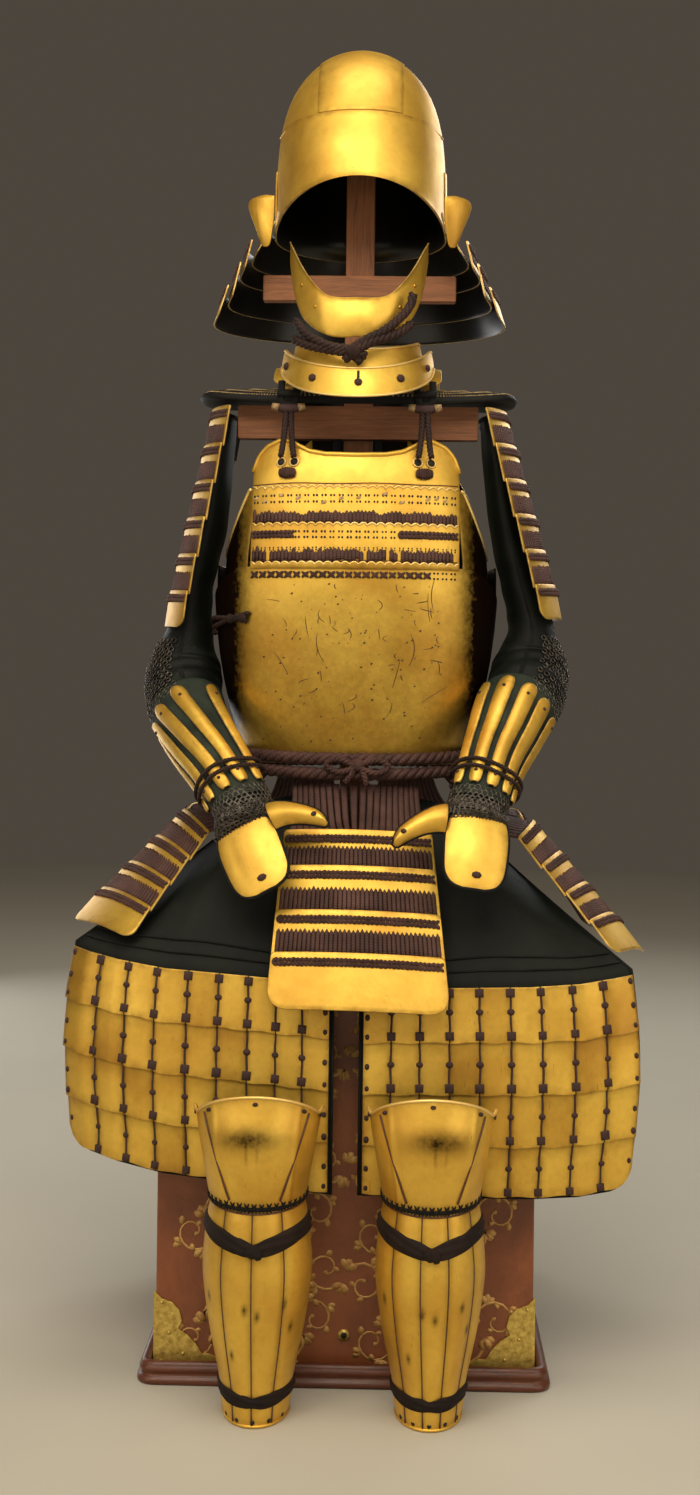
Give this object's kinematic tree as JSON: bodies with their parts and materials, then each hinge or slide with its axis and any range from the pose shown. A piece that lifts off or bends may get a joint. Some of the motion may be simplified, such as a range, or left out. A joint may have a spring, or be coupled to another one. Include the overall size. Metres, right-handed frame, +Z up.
{
  "type": "samurai armour on wooden stand and chest",
  "caption": "Gold-lacquered samurai armour with helmet, half mask, laced cuirass, sleeves, thigh and shin guards, seated on a leather-covered chest with its wooden stand.",
  "frame": {"origin": "centre of the bounding box at floor level", "axes": "+Z up; the armour faces -Y; +X is the wearer's left"},
  "size_m": [0.7442, 0.6696, 1.746],
  "materials": {
    "gold_lacquer": "gold-leaf lacquer on iron and rawhide plates, satin, worn",
    "lacing": "flat braided silk lacing, purple-brown, matt",
    "cloth": "dark green-black cloth and doeskin, soft sheen",
    "chest_leather": "dyed leather with a tan scroll pattern",
    "brass": "engraved sheet brass, satin",
    "tray_wood": "dark red-brown stained and polished wood",
    "stand_wood": "plain brown wood, satin"
  },
  "bodies": {
    "root": {"base_tray": "tray_wood", "chest_body": "chest_leather", "chest_lid": "chest_leather", "corner_front_right": "brass", "corner_back_right": "brass", "corner_front_left": "brass", "corner_back_left": "brass", "stand_post": "stand_wood", "stand_shoulder_bar": "stand_wood", "stand_head_bar": "stand_wood", "helmet_bowl": "gold_lacquer", "helmet_brow": "gold_lacquer", "turn_back_right": "gold_lacquer", "turn_back_left": "gold_lacquer", "neck_lame_1": "gold_lacquer", "neck_lame_2": "gold_lacquer", "neck_lame_3": "gold_lacquer", "neck_lame_4": "gold_lacquer", "mask": "gold_lacquer", "throat_lame_1": "gold_lacquer", "throat_lame_2": "gold_lacquer", "chest_plate": "gold_lacquer", "chest_lame_1": "gold_lacquer", "chest_lame_2": "gold_lacquer", "belly_plate": "gold_lacquer", "armpit_plate_right": "gold_lacquer", "armpit_plate_left": "gold_lacquer", "back_lower": "gold_lacquer", "back_upper": "gold_lacquer", "shoulder_yoke": "cloth", "waist_cord": "lacing", "shoulder_guard_right": "gold_lacquer", "shoulder_guard_left": "gold_lacquer", "sleeve_right": "cloth", "sleeve_left": "cloth", "splints_right": "gold_lacquer", "splints_left": "gold_lacquer", "hand_plate_right": "gold_lacquer", "thumb_plate_right": "gold_lacquer", "hand_plate_left": "gold_lacquer", "thumb_plate_left": "gold_lacquer", "thigh_cloth_right": "cloth", "thigh_plates_right": "gold_lacquer", "thigh_cloth_left": "cloth", "thigh_plates_left": "gold_lacquer", "tasset_front": "gold_lacquer", "tasset_side_right": "gold_lacquer", "tasset_side_left": "gold_lacquer", "tasset_flank_right": "gold_lacquer", "tasset_flank_left": "gold_lacquer", "tasset_back_right": "gold_lacquer", "tasset_back_left": "gold_lacquer", "shin_guard_right": "gold_lacquer", "knee_plate_right": "gold_lacquer", "shin_tie_upper_right": "cloth", "shin_tie_lower_right": "cloth", "shin_guard_left": "gold_lacquer", "knee_plate_left": "gold_lacquer", "shin_tie_upper_left": "cloth", "shin_tie_lower_left": "cloth"}
  },
  "joints": []
}
